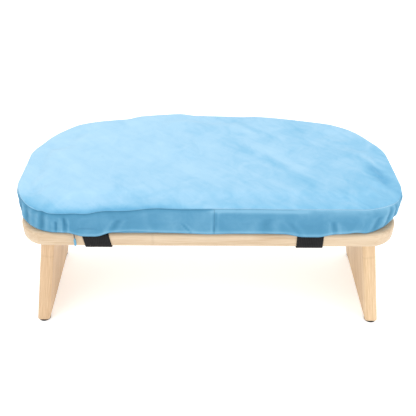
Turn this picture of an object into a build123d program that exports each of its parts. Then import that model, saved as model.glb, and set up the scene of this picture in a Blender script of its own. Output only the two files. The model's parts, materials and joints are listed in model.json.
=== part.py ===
"""Folding kneeling bench: a D-shaped bamboo seat on two splayed folding panel legs,
with a zipped velvet cushion held down by two hook-and-loop straps.

Units are millimetres, +Z is up, -Y is the front, and the origin is on the floor under
the middle of the bench. Pieces on or under the seat are drawn on the seat plane, which
lies on the board's underside with its local x across, local y towards the back and
local z square to the board.
"""
from build123d import *
import os
from math import cos, radians, sin, tan

# Seat board
board_half_front = 227.5
board_half_back = 219.0
board_side_depth = 166.0
board_depth = 210.0
board_thickness = 20.0
board_front_radius = 33.0
board_back_radius = 80.0
board_edge_radius = 4.0
seat_tilt = 4.0
underside_front_height = 135.0
front_y = -102.0

# Legs
leg_thickness = 16.0
leg_depth = 150.0
leg_setback = 10.0
leg_splay = 10.0
leg_top_outer_x = 202.0
leg_edge_radius = 4.0
leg_bottom_radius = 1.2
leg_top_gap = 0.2
leg_overlength = 12.0
leg_cut_length = 160.0

# Foot pads
pad_radius = 7.8
pad_thickness = 3.0
pad_edge_radius = 0.6
pad_inset = 8.2

# Hinges
hinge_length = 40.0
hinge_places = (45.0, 125.0)
leaf_thickness = 1.2
leaf_width = 20.0
leaf_corner_radius = 3.0
knuckle_radius = 2.45
knuckle_clearance = 0.3
pin_radius = 1.25
pin_clearance = 0.05
pin_head_radius = 2.0
pin_head_thickness = 0.8
middle_knuckle = 13.8

# Screws
screw_places = ((-13.0, 9.0), (13.0, 9.0), (0.0, 14.5))
screw_radius = 1.5
screw_length = 12.0
screw_point = 3.0
screw_head_radius = 2.85
head_clearance = 0.05
pilot_clearance = 0.02
recess_length = 3.2
recess_width = 0.7
recess_depth = 0.6

# Cushion
cushion_thickness = 35.0
cushion_overhang = 4.5
cushion_inset = 1.0
cushion_front_radius = 52.0
cover_thickness = 1.2
foam_channel_depth = 3.0
foam_channel_clearance = 1.0

# Zip along the cushion's lower front edge
zip_half_length = 166.0
zip_tape_width = 1.7
zip_tape_thickness = 0.6
zip_coil_width = 1.6
zip_coil_thickness = 1.8
zip_stop_length = 1.5
slider_x = -157.0
slider_length = 8.0
slider_clearance = 0.25
slider_plate = 1.2
slider_flange = 0.7
bridge_reach = 1.8
bridge_post = 0.8
bridge_span = 5.0
bridge_radius = 0.5
eye_clearance = 0.08
eye_radius = 1.3
eye_width = 2.0
pull_neck_length = 8.5
pull_neck_width = 1.0
pull_thickness = 1.3
pull_tab_length = 10.0
pull_tab_radius = 1.3

# Straps
left_strap_x = -131.5
right_strap_x = 120.0
strap_width = 30.0
strap_thickness = 1.2
strap_gap = 0.05
front_strap_end = 130.0
back_strap_end = 80.0
strap_step_start = 145.0
strap_step_end = 133.0
patch_thickness = 0.6
patch_start = 85.0
patch_end = 125.0

# Directions of the seat: across, towards the back, and square to the board
across = Vector(1, 0, 0)
back = Vector(0, cos(radians(seat_tilt)), sin(radians(seat_tilt)))
square = Vector(0, -sin(radians(seat_tilt)), cos(radians(seat_tilt)))
seat_origin = Vector(0, front_y, underside_front_height)
seat_plane = Plane(origin=seat_origin, x_dir=across, z_dir=square)

# Directions of the right leg: down its inner face, and out of that face
splay_sin = sin(radians(leg_splay))
splay_cos = cos(radians(leg_splay))
leg_down = across * splay_sin - square * splay_cos
leg_inward = across * -splay_cos - square * splay_sin
leg_top_inner_x = leg_top_outer_x - leg_thickness / splay_cos

# Hinge axis of the right leg, equally far from the board and from the leg
axis_offset = knuckle_radius + knuckle_clearance
axis_x = leg_top_inner_x + axis_offset * tan(radians(leg_splay)) - axis_offset / splay_cos

os.makedirs("parts", exist_ok=True)


def seat_point(x, y, z):
    """A point given on the seat plane, in the bench's own frame."""
    return seat_origin + across * x + back * y + square * z


def save(part, name):
    """Labels one finished piece and writes it to its own file."""
    part.label = name
    export_step(part, f"parts/{name}.step")


def save_pair(part, name):
    """Writes a piece of the right side, and its mirror image for the left side."""
    with BuildPart() as left:
        mirror(part, about=Plane.YZ)
    save(part, f"right_{name}")
    save(left.part, f"left_{name}")


def d_shape(plane, front_radius, inset=0.0, overhang=0.0):
    """The seat's outline: straight in front, sides closing slightly, bowed back."""
    half_front = board_half_front + overhang
    half_back = board_half_back + overhang
    with BuildSketch(plane) as outline:
        with BuildLine():
            Polyline(
                (-half_back, board_side_depth),
                (-half_front, 0),
                (half_front, 0),
                (half_back, board_side_depth),
            )
            ThreePointArc(
                (half_back, board_side_depth),
                (0, board_depth),
                (-half_back, board_side_depth),
            )
        make_face()
        fillet(outline.vertices().group_by(Axis.Y)[0], front_radius)
        fillet(outline.vertices().group_by(Axis.Y)[-1], board_back_radius)
        if inset:
            offset(amount=-inset, kind=Kind.INTERSECTION)
    return outline.sketch


def seat_leaf_plane(y):
    """On the board's underside, below the hinge axis, with local y pointing inward."""
    return Plane(origin=seat_point(axis_x, y, 0), x_dir=-back, z_dir=-square)


def leg_leaf_plane(y):
    """On the right leg's inner face, beside the hinge axis, with local y pointing down."""
    foot = seat_point(axis_x, y, -axis_offset) - leg_inward * axis_offset
    return Plane(origin=foot, x_dir=back, z_dir=leg_inward)


def drill_pilot_holes(plane):
    """Drills the holes for one leaf's screws into the wood behind it."""
    with BuildSketch(plane) as holes:
        with Locations(*screw_places):
            Circle(screw_radius + pilot_clearance)
    extrude(holes.sketch, amount=-screw_length, mode=Mode.SUBTRACT)


# Seat board
with BuildPart() as seat_board:
    extrude(d_shape(seat_plane, board_front_radius), amount=board_thickness)
    fillet(seat_board.faces().filter_by(seat_plane).edges(), board_edge_radius)
    for hinge_y in hinge_places:
        drill_pilot_holes(seat_leaf_plane(hinge_y))
    # The left hinges' holes: what the board and its mirror image share has both sides'
    mirror(seat_board.part, about=Plane.YZ, mode=Mode.INTERSECT)
save(seat_board.part, "seat_board")


# Legs: a splayed panel each, its top bevelled to lie against the board's underside
leg_plane = Plane(origin=seat_point(leg_top_inner_x, 0, 0), x_dir=back, z_dir=-leg_inward)


def front_edge(down):
    """Where the leg's upright front edge lies, on the leg plane, this far down it."""
    lean = down * splay_cos * sin(radians(seat_tilt))
    return ((leg_setback - lean) / cos(radians(seat_tilt)), -down)


with BuildPart() as leg_panel:
    with BuildSketch(leg_plane):
        top_x, top_y = front_edge(-leg_overlength)
        low_x, low_y = front_edge(leg_cut_length)
        with BuildLine():
            Polyline(
                (top_x, top_y),
                (low_x, low_y),
                (low_x + leg_depth, low_y),
                (top_x + leg_depth, top_y),
                close=True,
            )
        make_face()
    extrude(amount=leg_thickness)
    fillet(leg_panel.edges().group_by(SortBy.LENGTH)[-1], leg_edge_radius)
    split(bisect_by=seat_plane.offset(-leg_top_gap), keep=Keep.BOTTOM)
    split(bisect_by=Plane.XY.offset(pad_thickness), keep=Keep.TOP)
    fillet(leg_panel.faces().sort_by(Axis.Z)[0].edges(), leg_bottom_radius)
    for hinge_y in hinge_places:
        drill_pilot_holes(leg_leaf_plane(hinge_y))
save_pair(leg_panel.part, "leg_panel")


def pad_center(setback):
    """The middle of a foot pad, this far behind the leg's front face."""
    depth = leg_setback + setback
    drop = pad_thickness - underside_front_height
    square_drop = drop * cos(radians(seat_tilt)) - depth * sin(radians(seat_tilt))
    down = (leg_thickness / 2 * splay_sin - square_drop) / splay_cos
    center_x = leg_top_inner_x + leg_thickness / 2 * splay_cos + down * splay_sin
    return Vector(center_x, front_y + depth, 0)


# Foot pads: rubber discs under both ends of each leg
for end, setback in (("front", pad_inset), ("back", leg_depth - pad_inset)):
    with BuildPart() as foot_pad:
        with BuildSketch(Plane(origin=pad_center(setback))):
            Circle(pad_radius)
        extrude(amount=pad_thickness)
        fillet(foot_pad.faces().sort_by(Axis.Z)[0].edges(), pad_edge_radius)
    save_pair(foot_pad.part, f"{end}_foot_pad")


def hinge_leaf(plane, knuckles):
    """One leaf: a countersunk plate, and rolled knuckles along the stretches given."""
    web_end = axis_offset + knuckle_clearance
    with BuildPart() as leaf:
        with BuildSketch(plane):
            with Locations((0, (web_end + leaf_width) / 2)):
                Rectangle(hinge_length, leaf_width - web_end)
        extrude(amount=leaf_thickness)
        plate_edges = leaf.edges().filter_by(Axis((0, 0, 0), tuple(plane.z_dir)))
        far_edges = plate_edges.sort_by(Axis(tuple(plane.origin), tuple(plane.y_dir)))[-2:]
        fillet(far_edges, leaf_corner_radius)
        for start, end in knuckles:
            with BuildSketch(knuckle_plane(plane, start)):
                with Locations((web_end / 2, leaf_thickness / 2)):
                    Rectangle(web_end, leaf_thickness)
                with Locations((0, axis_offset)):
                    Circle(knuckle_radius)
                    Circle(pin_radius + pin_clearance, mode=Mode.SUBTRACT)
            extrude(amount=end - start)
        for x, y in screw_places:
            with Locations(plane.offset(leaf_thickness) * Location((x, y, 0))):
                CounterSinkHole(
                    screw_radius + 2 * head_clearance,
                    screw_head_radius + head_clearance,
                    depth=leaf_thickness,
                    counter_sink_angle=90,
                )
    return leaf.part


def knuckle_plane(plane, along):
    """Square to the hinge axis, this far along it, with local x pointing over the leaf."""
    origin = plane.origin + plane.x_dir * along
    return Plane(origin=origin, x_dir=plane.y_dir, z_dir=plane.x_dir)


def hinge_screws(plane):
    """Three countersunk wood screws with a cross recess, as separate solids."""
    shoulder = screw_head_radius - leaf_thickness
    with BuildPart() as screws:
        for x, y in screw_places:
            origin = plane.origin + plane.x_dir * x + plane.y_dir * y
            with BuildSketch(Plane(origin=origin, x_dir=plane.x_dir, z_dir=-plane.y_dir)):
                with BuildLine():
                    Polyline(
                        (0, leaf_thickness),
                        (screw_head_radius, leaf_thickness),
                        (shoulder, 0),
                        (screw_radius, 0),
                        (screw_radius, screw_point - screw_length),
                        (0, -screw_length),
                        close=True,
                    )
                make_face()
            revolve(axis=Axis(origin, plane.z_dir))
            head_top = origin + plane.z_dir * leaf_thickness
            with BuildSketch(Plane(origin=head_top, x_dir=plane.x_dir, z_dir=plane.z_dir)):
                Rectangle(recess_length, recess_width)
                Rectangle(recess_width, recess_length)
            extrude(amount=-recess_depth, mode=Mode.SUBTRACT)
    return screws.part


# Hinges: one near the front and one near the back of each leg
half_hinge = hinge_length / 2
half_middle = middle_knuckle / 2
end_knuckle_start = half_middle + knuckle_clearance
end_knuckles = ((-half_hinge, -end_knuckle_start), (end_knuckle_start, half_hinge))

for end, hinge_y in zip(("front", "back"), hinge_places):
    seat_side = seat_leaf_plane(hinge_y)
    leg_side = leg_leaf_plane(hinge_y)
    pin_plane = knuckle_plane(seat_side, -half_hinge - pin_head_thickness)
    with BuildPart() as hinge_pin:
        with BuildSketch(pin_plane):
            with Locations((0, axis_offset)):
                Circle(pin_radius)
        extrude(amount=hinge_length + 2 * pin_head_thickness)
        for head_offset in (0, hinge_length + pin_head_thickness):
            with BuildSketch(pin_plane.offset(head_offset)):
                with Locations((0, axis_offset)):
                    Circle(pin_head_radius)
            extrude(amount=pin_head_thickness)
    save_pair(hinge_leaf(seat_side, end_knuckles), f"{end}_hinge_seat_leaf")
    save_pair(hinge_leaf(leg_side, ((-half_middle, half_middle),)), f"{end}_hinge_leg_leaf")
    save_pair(hinge_pin.part, f"{end}_hinge_pin")
    save_pair(hinge_screws(seat_side), f"{end}_hinge_seat_screws")
    save_pair(hinge_screws(leg_side), f"{end}_hinge_leg_screws")


def cushion_shape(height, inset):
    """The cushion's outline at a height above the board's underside."""
    plane = seat_plane.offset(height)
    return d_shape(plane, cushion_front_radius, inset, cushion_overhang)


# Cushion: a foam core inside a cover of bottom panel, side band and top panel
cushion_bottom = board_thickness
cushion_top = cushion_bottom + cushion_thickness
bottom_seam = cushion_bottom + cover_thickness
top_seam = cushion_top - cover_thickness
band_height = top_seam - bottom_seam
zip_height = 2 * zip_tape_width + zip_coil_width
zip_top = bottom_seam + zip_height
foam_inset = cushion_inset + cover_thickness

with BuildPart() as cover_bottom_panel:
    extrude(cushion_shape(cushion_bottom, cushion_inset), amount=cover_thickness)
save(cover_bottom_panel.part, "cover_bottom_panel")

with BuildPart() as cover_top_panel:
    extrude(cushion_shape(top_seam, cushion_inset), amount=cover_thickness)
save(cover_top_panel.part, "cover_top_panel")

with BuildPart() as cover_side_band:
    extrude(cushion_shape(bottom_seam, cushion_inset), amount=band_height)
    extrude(cushion_shape(bottom_seam, foam_inset), amount=band_height, mode=Mode.SUBTRACT)
    with BuildSketch(seat_plane.offset(bottom_seam)):
        with Locations((0, foam_inset)):
            Rectangle(2 * zip_half_length, 2 * foam_inset)
    extrude(amount=zip_height, mode=Mode.SUBTRACT)
save(cover_side_band.part, "cover_side_band")

with BuildPart() as foam_core:
    extrude(cushion_shape(bottom_seam, foam_inset), amount=band_height)
    with BuildSketch(seat_plane.offset(bottom_seam)):
        with Locations((0, foam_inset)):
            Rectangle(2 * zip_half_length, 2 * foam_channel_depth)
    extrude(amount=zip_height + foam_channel_clearance, mode=Mode.SUBTRACT)
save(foam_core.part, "foam_core")


def bar_along_zip(y_range, z_range, half_length, middle=0.0):
    """A rectangular bar along the zip, between two depths and two heights."""
    plane = Plane(origin=seat_point(middle - half_length, 0, 0), x_dir=back, z_dir=across)
    with BuildSketch(plane) as section:
        with Locations((sum(y_range) / 2, sum(z_range) / 2)):
            Rectangle(y_range[1] - y_range[0], z_range[1] - z_range[0])
    extrude(section.sketch, amount=2 * half_length)


# Zip: two tapes and a closed coil, with a stop at each end
zip_back = foam_inset
tape_back = zip_back - (cover_thickness - zip_tape_thickness) / 2
tape_front = tape_back - zip_tape_thickness
coil_front = zip_back - zip_coil_thickness
coil_bottom = bottom_seam + zip_tape_width
coil_top = coil_bottom + zip_coil_width
coil_half_length = zip_half_length - zip_stop_length

with BuildPart() as zip_tape_lower:
    bar_along_zip((tape_front, tape_back), (bottom_seam, coil_bottom), zip_half_length)
save(zip_tape_lower.part, "zip_tape_lower")

with BuildPart() as zip_tape_upper:
    bar_along_zip((tape_front, tape_back), (coil_top, zip_top), zip_half_length)
save(zip_tape_upper.part, "zip_tape_upper")

with BuildPart() as zip_coil:
    bar_along_zip((coil_front, zip_back), (coil_bottom, coil_top), coil_half_length)
save(zip_coil.part, "zip_coil")

with BuildPart() as zip_end_stops:
    for end_side in (-1, 1):
        bar_along_zip(
            (coil_front, zip_back),
            (coil_bottom, coil_top),
            zip_stop_length / 2,
            end_side * (zip_half_length - zip_stop_length / 2),
        )
save(zip_end_stops.part, "zip_end_stops")

# Zip slider: a plate with two flanges over the coil, and a bridge that carries the pull
plate_back = coil_front - slider_clearance
plate_front = plate_back - slider_plate
flange_back = tape_front - slider_clearance
flange_low = coil_bottom - slider_clearance
flange_high = coil_top + slider_clearance
bridge_y = plate_front - bridge_reach
bridge_z = (coil_bottom + coil_top) / 2
half_slider = slider_length / 2

with BuildPart() as zip_slider:
    slider_low = flange_low - slider_flange
    slider_high = flange_high + slider_flange
    bar_along_zip((plate_front, plate_back), (slider_low, slider_high), half_slider, slider_x)
    bar_along_zip((plate_back, flange_back), (slider_low, flange_low), half_slider, slider_x)
    bar_along_zip((plate_back, flange_back), (flange_high, slider_high), half_slider, slider_x)
    for post_side in (-1, 1):
        bar_along_zip(
            (bridge_y - bridge_radius, plate_front),
            (bridge_z - bridge_radius, bridge_z + bridge_radius),
            bridge_post / 2,
            slider_x + post_side * (bridge_span - bridge_post) / 2,
        )
    bar_start = seat_point(slider_x - bridge_span / 2, bridge_y, bridge_z)
    with BuildSketch(Plane(origin=bar_start, x_dir=back, z_dir=across)):
        Circle(bridge_radius)
    extrude(amount=bridge_span)
save(zip_slider.part, "zip_slider")

# Zip pull: an eye on the bridge, a thin neck and a teardrop tab, hanging plumb
pull_origin = seat_point(slider_x, bridge_y, bridge_z)

with BuildPart() as zip_pull:
    with BuildSketch(Plane.YZ.offset(slider_x - eye_width / 2)):
        with Locations((pull_origin.Y, pull_origin.Z)):
            Circle(eye_radius)
    extrude(amount=eye_width)
    with BuildSketch(Plane(origin=pull_origin, x_dir=across, z_dir=(0, -1, 0))):
        tab_middle = -(pull_neck_length + pull_tab_length / 2)
        with Locations((0, -(pull_neck_length + pull_tab_radius) / 2)):
            Rectangle(pull_neck_width, pull_neck_length + pull_tab_radius)
        with Locations((0, tab_middle)):
            SlotOverall(pull_tab_length, 2 * pull_tab_radius, rotation=90)
    extrude(amount=pull_thickness / 2, both=True)
    with BuildSketch(Plane.YZ.offset(slider_x - eye_width)):
        with Locations((pull_origin.Y, pull_origin.Z)):
            Circle(bridge_radius + eye_clearance)
    extrude(amount=2 * eye_width, mode=Mode.SUBTRACT)
save(zip_pull.part, "zip_pull")


# Straps: each pair comes down the front and back edges and joins under the board
step_depth = strap_thickness + 2 * patch_thickness
strap_top = -strap_gap
strap_bottom = strap_top - strap_thickness


def grown_board(growth):
    """The board's rounded shape, grown by the same amount all round."""
    with BuildPart() as grown:
        extrude(
            d_shape(seat_plane.offset(-growth), board_front_radius, -growth),
            amount=board_thickness + 2 * growth,
        )
        fillet(grown.faces().filter_by(seat_plane).edges(), board_edge_radius + growth)
    return grown.part


def wrap(plane, near, far):
    """The webbing round the board's edge at one strap, between two depths."""
    with BuildPart() as webbing:
        add(grown_board(strap_gap + strap_thickness))
        add(grown_board(strap_gap), mode=Mode.SUBTRACT)
        with BuildSketch(plane):
            with Locations(((near + far) / 2, (strap_bottom + board_thickness) / 2)):
                Rectangle(far - near, board_thickness - strap_bottom)
        extrude(amount=strap_width, mode=Mode.INTERSECT)
    return webbing.part


def patch(plane, top):
    """A flat hook or loop patch on the webbing, under this height."""
    with BuildPart() as flat_patch:
        with BuildSketch(plane):
            with Locations(((patch_start + patch_end) / 2, top - patch_thickness / 2)):
                Rectangle(patch_end - patch_start, patch_thickness)
        extrude(amount=strap_width)
    return flat_patch.part


for side, strap_x in (("left", left_strap_x), ("right", right_strap_x)):
    strap_edge = seat_point(strap_x - strap_width / 2, 0, 0)
    strap_plane = Plane(origin=strap_edge, x_dir=back, z_dir=across)
    with BuildPart() as back_strap:
        add(wrap(strap_plane, strap_step_start, board_depth))
        with BuildSketch(strap_plane):
            with BuildLine():
                Polyline(
                    (strap_step_start, strap_top),
                    (strap_step_start, strap_bottom),
                    (strap_step_end, strap_bottom - step_depth),
                    (back_strap_end, strap_bottom - step_depth),
                    (back_strap_end, strap_top - step_depth),
                    (strap_step_end, strap_top - step_depth),
                    close=True,
                )
            make_face()
        extrude(amount=strap_width)
    save(back_strap.part, f"{side}_strap_back")
    save(wrap(strap_plane, strap_bottom, front_strap_end), f"{side}_strap_front")
    save(patch(strap_plane, strap_bottom), f"{side}_strap_loop_patch")
    save(patch(strap_plane, strap_bottom - patch_thickness), f"{side}_strap_hook_patch")
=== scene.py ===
"""Looks for a folding kneeling bench: bamboo seat and legs, strapped velvet cushion.

The bench's own frame is in metres: +Z up, -Y in front. The soft pieces are shaped in
millimetres in the seat's frame, whose x runs across, y towards the back and z square to
the board, with its origin on the board's underside at the middle of its front edge.
"""

import json
import math
import random

import bmesh
import bpy
import numpy as np
from mathutils import Matrix, Vector, geometry, noise
from mathutils.bvhtree import BVHTree


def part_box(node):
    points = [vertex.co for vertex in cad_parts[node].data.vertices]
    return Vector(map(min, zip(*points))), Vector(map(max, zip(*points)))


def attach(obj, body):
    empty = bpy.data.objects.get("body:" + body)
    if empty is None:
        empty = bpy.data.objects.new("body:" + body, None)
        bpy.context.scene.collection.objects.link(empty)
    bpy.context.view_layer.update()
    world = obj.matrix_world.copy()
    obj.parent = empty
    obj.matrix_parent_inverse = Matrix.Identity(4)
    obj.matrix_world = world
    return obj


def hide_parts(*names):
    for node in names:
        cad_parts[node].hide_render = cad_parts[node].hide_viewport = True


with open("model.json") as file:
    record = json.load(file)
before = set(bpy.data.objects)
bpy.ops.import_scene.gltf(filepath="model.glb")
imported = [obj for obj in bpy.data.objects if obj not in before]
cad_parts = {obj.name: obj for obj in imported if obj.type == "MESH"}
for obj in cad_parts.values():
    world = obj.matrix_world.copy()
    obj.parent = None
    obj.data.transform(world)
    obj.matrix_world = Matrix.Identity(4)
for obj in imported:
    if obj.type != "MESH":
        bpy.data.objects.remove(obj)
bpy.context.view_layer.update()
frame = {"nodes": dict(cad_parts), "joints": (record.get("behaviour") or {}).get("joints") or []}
joints = {joint["name"]: joint for joint in frame["joints"]}

MM = 0.001

# The seat's frame, from the right leg's hinge axis, which lies along the seat
HINGE_MIDDLE = 85 * MM
HINGE_DROP = 2.75 * MM
hinge_point = Vector(joints["right_leg_fold"]["pos_m"])
across = Vector((1, 0, 0))
back = Vector(joints["right_leg_fold"]["axis"])
square = across.cross(back)
seat_origin = hinge_point - across * hinge_point.x - back * HINGE_MIDDLE + square * HINGE_DROP
seat_matrix = Matrix((across, back, square)).transposed().to_4x4()
seat_matrix.translation = seat_origin
from_seat = np.array(seat_matrix, float)
to_seat = np.linalg.inv(from_seat)


def seat_to_world(points):
    """Points of the seat's frame, as an array of rows, in the bench's frame."""
    points = np.asarray(points, float)
    return points @ from_seat[:3, :3].T + from_seat[:3, 3]


def world_to_seat(points):
    """Points of the bench's frame, as an array of rows, in the seat's frame."""
    points = np.asarray(points, float)
    return points @ to_seat[:3, :3].T + to_seat[:3, 3]


def seat_outline(name):
    """The outline of a CAD node seen square to the seat, in millimetres."""
    points = np.array([v.co for v in frame["nodes"][name].data.vertices], float)
    flat = world_to_seat(points)[:, :2] / MM
    return flat[geometry.convex_hull_2d([tuple(p) for p in flat])]


# ------------ small helpers

def smoothstep(low, high, value):
    """0 below low, 1 above high, and a smooth rise between them."""
    t = np.clip((np.asarray(value, float) - low) / (high - low), 0, 1)
    return t * t * (3 - 2 * t)


def bell(value, middle, width):
    """A smooth bump of height 1 at its middle."""
    return np.exp(-(((np.asarray(value, float) - middle) / width) ** 2))


def plateau(value, start, end, soft):
    """1 between start and end, falling smoothly to 0 over a soft distance outside."""
    return smoothstep(start - soft, start, value) * (1 - smoothstep(end, end + soft, value))


def bells(value, bumps):
    """The sum of bells, each given as its middle, width and height."""
    return sum(height * bell(value, middle, width) for middle, width, height in bumps)


def plateaus(value, steps):
    """The sum of plateaus, each given as its start, end, soft distance and height."""
    return sum(height * plateau(value, start, end, soft) for start, end, soft, height in steps)


def make_object(name, points, faces, smooth=True):
    """A mesh object from points in the bench's frame."""
    mesh = bpy.data.meshes.new(name)
    mesh.from_pydata([tuple(p) for p in points], [], [tuple(f) for f in faces])
    mesh.validate()
    mesh.polygons.foreach_set("use_smooth", [smooth] * len(mesh.polygons))
    piece = bpy.data.objects.new(name, mesh)
    bpy.context.scene.collection.objects.link(piece)
    return piece


def fix_normals(piece):
    """Turns every face outward."""
    edit = bmesh.new()
    edit.from_mesh(piece.data)
    bmesh.ops.recalc_face_normals(edit, faces=edit.faces)
    edit.to_mesh(piece.data)
    edit.free()


def tube_faces(rings, size):
    """The faces of a closed tube: rings of points one after another, and two end caps."""
    faces = []
    for i in range(rings - 1):
        for k in range(size):
            a, b = i * size + k, i * size + (k + 1) % size
            faces.append((a, b, b + size, a + size))
    faces += [tuple(range(size)), tuple(range((rings - 1) * size, rings * size))]
    return faces


def put_on_bench(piece, material, node):
    """Gives a piece its material, hangs it on the bench's body, and hides the CAD node that it stands
    in for.
    """
    piece.data.materials.append(material)
    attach(piece, "bench")
    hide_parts(node)


# ------------ materials

class Shader:
    """A Principled material being wired up node by node."""

    def __init__(self, name, roughness, specular=0.5, metallic=0.0):
        self.material = bpy.data.materials.new(name)
        self.material.use_nodes = True
        self.tree = self.material.node_tree
        self.bsdf = self.tree.nodes["Principled BSDF"]
        self.set("Roughness", roughness)
        self.set("Specular IOR Level", specular)
        self.set("Metallic", metallic)

    def set(self, socket, value):
        """A plain value on the shader's own socket."""
        self.bsdf.inputs[socket].default_value = value

    def link(self, output, target):
        self.tree.links.new(output, target)

    def node(self, kind, **settings):
        """A node with its settings."""
        made = self.tree.nodes.new(kind)
        for key, value in settings.items():
            setattr(made, key, value)
        return made

    def coords(self, scale=(1, 1, 1), rotation=(0, 0, 0)):
        """Places on the object, turned and stretched."""
        place = self.node("ShaderNodeTexCoord").outputs["Object"]
        mapping = self.node("ShaderNodeMapping", vector_type="TEXTURE")
        self.link(place, mapping.inputs["Vector"])
        mapping.inputs["Rotation"].default_value = rotation
        mapping.inputs["Scale"].default_value = scale
        return mapping.outputs["Vector"]

    def split(self, vector):
        """The three parts of a vector."""
        made = self.node("ShaderNodeSeparateXYZ")
        self.link(vector, made.inputs[0])
        return made.outputs

    def noise(self, vector, **settings):
        """Smooth noise from 0 to 1, with its scale, detail, roughness and distortion."""
        made = self.node("ShaderNodeTexNoise")
        self.link(vector, made.inputs["Vector"])
        for key, value in settings.items():
            made.inputs[key.title()].default_value = value
        return made.outputs["Fac"]

    def math(self, operation, *given, clamp=False):
        """One sum on numbers or node outputs."""
        made = self.node("ShaderNodeMath", operation=operation, use_clamp=clamp)
        for socket, value in zip(made.inputs, given):
            if isinstance(value, (int, float)):
                socket.default_value = value
            else:
                self.link(value, socket)
        return made.outputs[0]

    def total(self, start, *terms):
        """A start value plus outputs, each given with its weight."""
        for output, weight in terms:
            start = self.math("MULTIPLY_ADD", output, weight, start)
        return start

    def line(self, value, half_width):
        """1 where a value is 0, falling to 0 at a half width on both sides."""
        part = self.math("DIVIDE", self.math("ABSOLUTE", value), half_width)
        return self.math("SUBTRACT", 1.0, part, clamp=True)

    def ramp(self, value, stops, smooth=True):
        """Colours along a value."""
        made = self.node("ShaderNodeValToRGB")
        made.color_ramp.interpolation = "EASE" if smooth else "LINEAR"
        while len(made.color_ramp.elements) < len(stops):
            made.color_ramp.elements.new(0.5)
        for element, (position, color) in zip(made.color_ramp.elements, stops):
            element.position = position
            element.color = (*color, 1)
        self.link(value, made.inputs["Fac"])
        return made.outputs["Color"]

    def mix(self, factor, under, over):
        """A plain colour over another colour, by a factor."""
        made = self.node("ShaderNodeMix", data_type="RGBA")
        self.link(factor, made.inputs[0])
        self.link(under, made.inputs[6])
        made.inputs[7].default_value = (*over, 1)
        return made.outputs[2]

    def attribute(self, name):
        """A value stored on the mesh's points."""
        return self.node("ShaderNodeAttribute", attribute_name=name).outputs["Fac"]

    def color(self, output):
        self.link(output, self.bsdf.inputs["Base Color"])

    def rough(self, start, output, weight):
        """A roughness that varies with an output."""
        self.link(self.total(start, (output, weight)), self.bsdf.inputs["Roughness"])

    def bump(self, height, distance, strength):
        """Raises the surface by a height from 0 to 1 times a distance."""
        made = self.node("ShaderNodeBump")
        made.inputs["Strength"].default_value = strength
        made.inputs["Distance"].default_value = distance
        previous = self.bsdf.inputs["Normal"].links
        if previous:
            self.link(previous[0].from_socket, made.inputs["Normal"])
        self.link(height, made.inputs["Height"])
        self.link(made.outputs["Normal"], self.bsdf.inputs["Normal"])


# The band's join at the front: its place across, the dark line's half width, and the
# depth in front of which it is drawn, all in the bench's frame
JOIN_X = 6.5 * MM
JOIN_LINE = 0.7 * MM
JOIN_FRONT = -90 * MM
# The top seam's dark line, painted shade in its groove, in the millimetres of the seam_gap attribute
SEAM_LINE = 0.6
BRUSH_ANGLE = math.radians(-38)
VELVET_STEPS = (0.0, 0.25, 0.5, 0.85)
NAP_AND_SHADE_WEIGHT = 0.22


def make_velvet(name, tones, seam_dark, sheen, light_drift, variation):
    """Short-pile velvet: brushed patches of nap, faint streaks and a soft sheen.

    The nap_and_shade attribute lightens the pile where it is open and where highlights
    are painted, and darkens it where it is pressed and with painted shade in folds and
    along the seams. The top seam and the flap's hem are thin dark lines of painted
    shade, and the band's join a fainter dark line.
    """
    shader = Shader(name, roughness=0.9, specular=0.15)
    shader.set("Sheen Weight", sheen)
    shader.set("Sheen Roughness", 0.45)
    shader.set("Sheen Tint", (0.75, 0.9, 1.0, 1))
    place = shader.coords()
    x, y, _ = shader.split(place)
    patches = shader.noise(place, scale=11, detail=3, roughness=0.55, distortion=0.4)
    mottle = shader.noise(place, scale=46, detail=4, roughness=0.6, distortion=0.8)
    brushed = shader.coords(scale=(1.0, 0.16, 1.0), rotation=(0, 0, BRUSH_ANGLE))
    streaks = shader.noise(brushed, scale=14, detail=3, roughness=0.5, distortion=0.6)
    pile = shader.noise(place, scale=1500, detail=2, roughness=0.6)
    tone = shader.total(
        0.5 - 1.4 * variation,
        # light_drift tilts the tone across the piece as painted light; on the top it grows lighter
        # towards the back and the left, for light falling from there
        (x, -light_drift), (y, 1.1 * light_drift),
        (patches, 1.1 * variation), (mottle, variation), (streaks, 0.7 * variation),
        # nap_and_shade: painted shade in folds and along the seams, painted highlights on ridges and
        # rolled edges, and the top's own brushed streaks
        (shader.attribute("nap_and_shade"), NAP_AND_SHADE_WEIGHT),
    )
    cloth = shader.ramp(tone, tuple(zip(VELVET_STEPS, tones)), smooth=False)
    # seam_dark colours these lines: painted shade in the top seam's groove and painted shadow under the
    # flap's hem; the band's join is drawn fainter in it
    gap = shader.attribute("seam_gap")
    seam = shader.math("MULTIPLY", shader.line(gap, SEAM_LINE), patches)
    join = shader.line(shader.math("SUBTRACT", x, JOIN_X), JOIN_LINE)
    in_front = shader.math("LESS_THAN", y, JOIN_FRONT)
    below_seam = shader.math("LESS_THAN", gap, 0.0)
    join = shader.math("MULTIPLY", join, shader.math("MULTIPLY", in_front, below_seam))
    line = shader.math("MAXIMUM", seam, shader.math("MULTIPLY", join, 0.4))
    shader.color(shader.mix(shader.math("MULTIPLY", line, 0.8), cloth, seam_dark))
    shader.bump(shader.math("SUBTRACT", 1.0, line), distance=1.2 * MM, strength=0.8)
    shader.bump(mottle, distance=0.9 * MM, strength=0.5)
    shader.bump(pile, distance=0.35 * MM, strength=0.45)
    shader.rough(0.78, pile, 0.16)
    return shader.material


# Bamboo: the width of its strips, the distance between node marks, how far apart they
# are shifted between strips, and their half width as a part of the distance
STRIP_WIDTH = 20 * MM
NODE_SPACING = 190 * MM
NODE_OFFSET = 310 * MM
NODE_HALF_WIDTH = 0.03


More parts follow.
